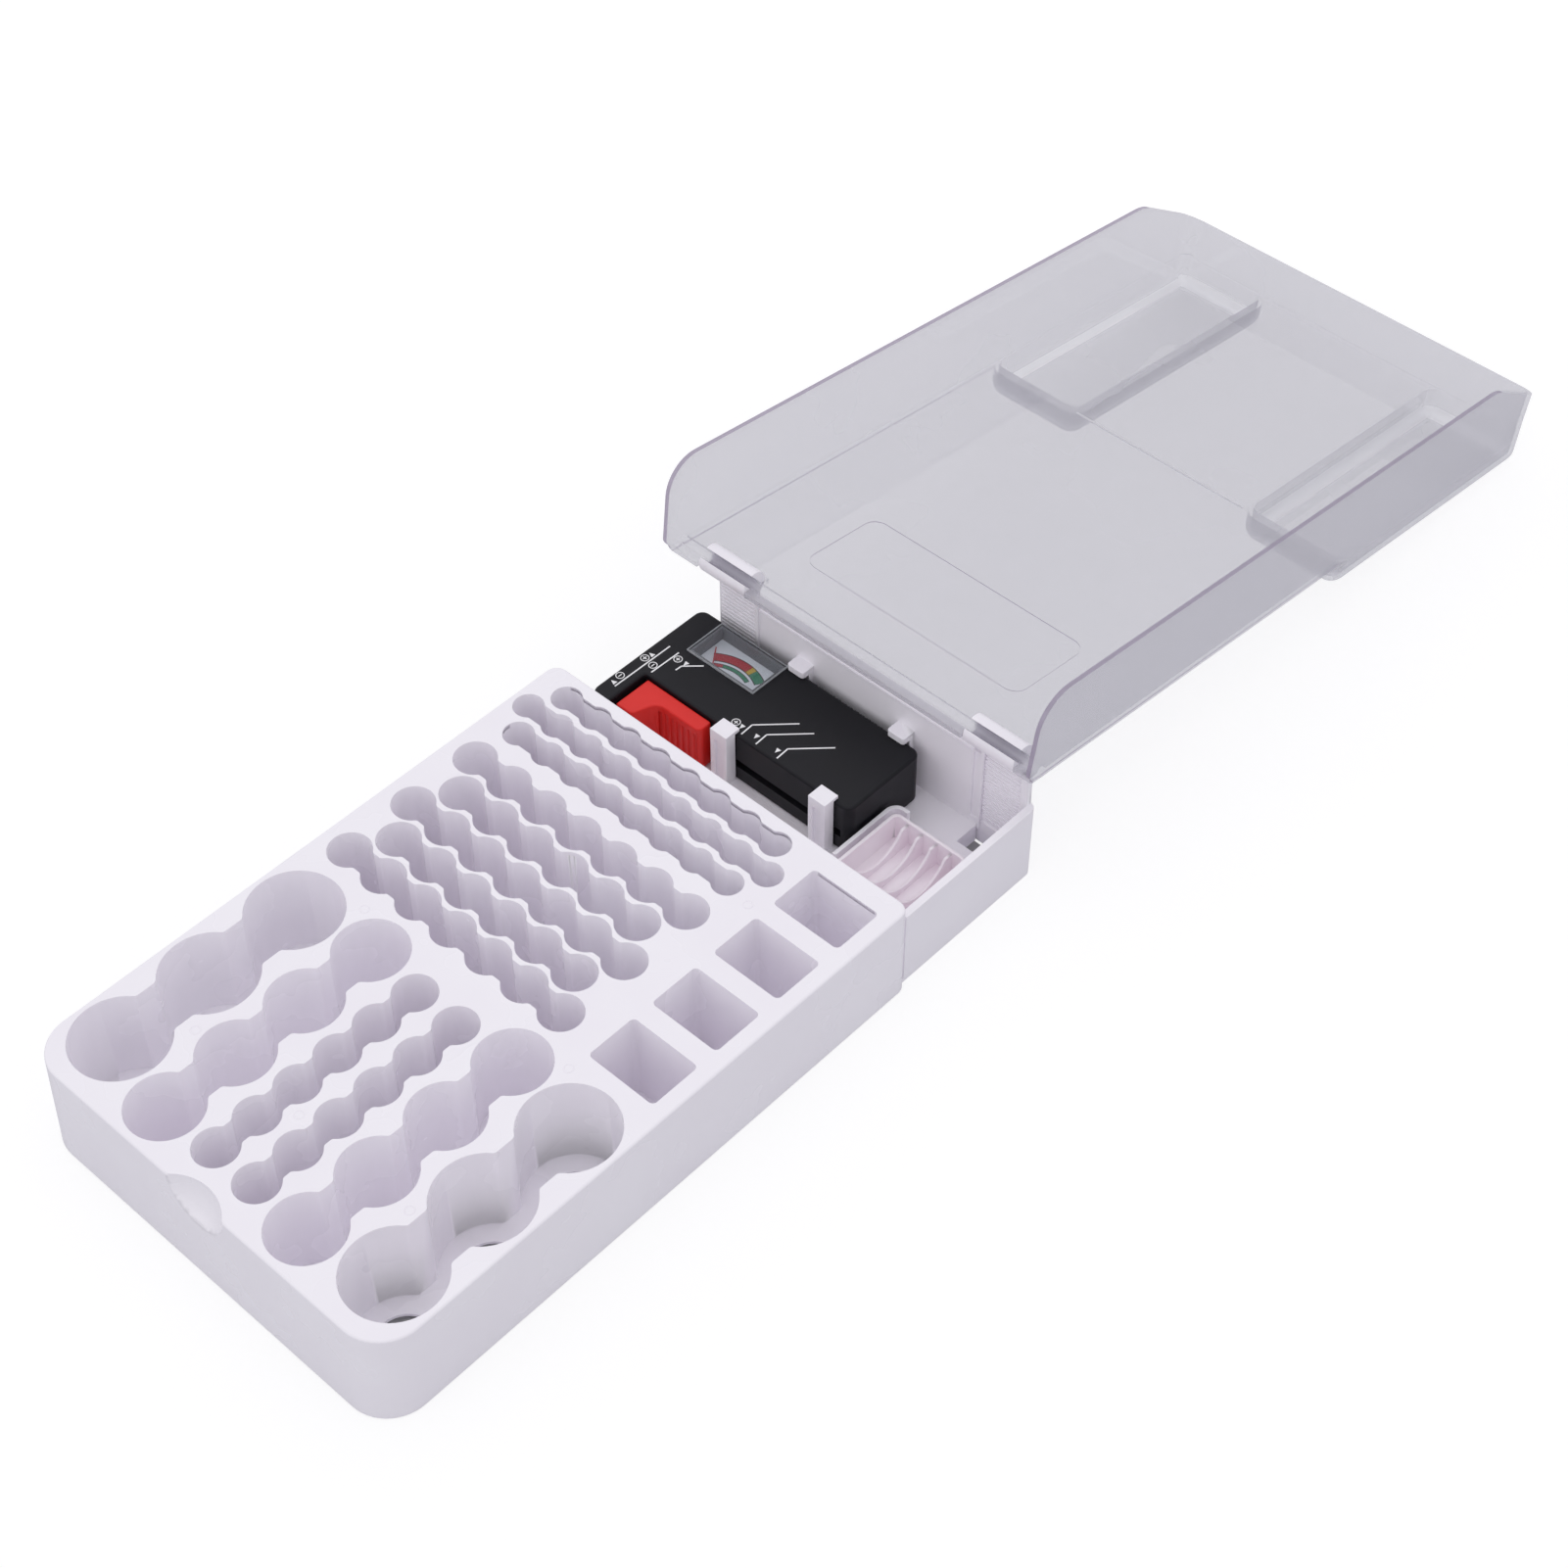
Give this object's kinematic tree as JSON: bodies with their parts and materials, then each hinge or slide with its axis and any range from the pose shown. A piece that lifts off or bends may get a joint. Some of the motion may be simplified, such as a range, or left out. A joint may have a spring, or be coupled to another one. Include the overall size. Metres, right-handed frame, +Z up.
{
  "type": "battery storage case",
  "caption": "Open battery storage case: a lift-out tray of round and square cell wells, a rear bay holding a sliding battery tester, and a clear lid hinged behind.",
  "frame": {"origin": "on the table, under the middle of the case with its lid open", "axes": "+Z up, +Y from the tray's front to the open lid, +X to the right of someone who faces the front"},
  "size_m": [0.1822, 0.6414, 0.0964],
  "materials": {
    "white_abs": "satin moulded white ABS",
    "tray_white": "satin moulded white polystyrene with a faint violet cast",
    "holder_pink": "pale pinkish white moulded plastic",
    "clear_lid": "clear smoky polystyrene",
    "tester_black": "fine-textured black ABS",
    "slider_red": "satin red ABS",
    "meter_grey": "grey moulded meter cup",
    "meter_clear": "clear acrylic",
    "dial_card": "printed card",
    "needle_red": "red paint",
    "magnet": "dark sintered magnet",
    "copper": "enamelled copper winding",
    "brass": "brass strip",
    "nickel": "nickel-plated spring strip",
    "resistor": "lacquered resistor body",
    "board": "paper laminate board",
    "steel": "zinc-plated steel"
  },
  "bodies": {
    "case_base": {"base": "white_abs"},
    "tray": {"battery_tray": "tray_white", "d_cell_wells": "tray_white", "c_cell_wells": "tray_white", "aa_cell_wells": "tray_white", "aa_cross_wells": "tray_white", "aaa_cell_wells": "tray_white", "block_cell_wells": "tray_white"},
    "clear_cover": {"lid": "clear_lid"},
    "cell_holder": {"flat_cell_holder": "holder_pink"},
    "tester": {"tester_top_shell": "tester_black", "tester_bottom_shell": "tester_black", "meter_housing": "meter_grey", "meter_window": "meter_clear", "dial_plate": "dial_card", "meter_magnet": "magnet", "meter_bridge": "brass", "arm_contact": "nickel", "block_cell_contacts": "nickel", "rail_strip": "nickel", "load_resistors": "resistor", "terminal_board": "board", "tester_screws": "steel"},
    "slide": {"tester_slider": "slider_red", "slider_contact": "nickel"},
    "movement": {"meter_needle": "needle_red", "moving_coil": "copper", "hair_spring": "brass"}
  },
  "joints": [
    {"name": "lid_hinge", "type": "hinge", "parent": "case_base", "child": "clear_cover", "pos_m": [0, -0.00289, 0.0589], "axis": [-1, 0, 0], "range_deg": [-187.78, 0]},
    {"name": "tray_lift", "type": "slide", "parent": "case_base", "child": "tray", "axis": [0, 0, 1], "range_m": [0, 0.06]},
    {"name": "holder_lift", "type": "slide", "parent": "case_base", "child": "cell_holder", "axis": [0, 0, 1], "range_m": [0, 0.04]},
    {"name": "tester_slide_out", "type": "slide", "parent": "case_base", "child": "tester", "axis": [-1, 0, 0], "range_m": [0, 0.122]},
    {"name": "slider_travel", "type": "slide", "parent": "tester", "child": "slide", "axis": [1, 0, 0], "range_m": [0, 0.0037]},
    {"name": "needle_swing", "type": "hinge", "parent": "tester", "child": "movement", "pos_m": [-0.0471, -0.03359, 0.0274], "axis": [0, 0, 1], "range_deg": [-66, 0], "stiffness_Nm_per_rad": 0.0001}
  ]
}
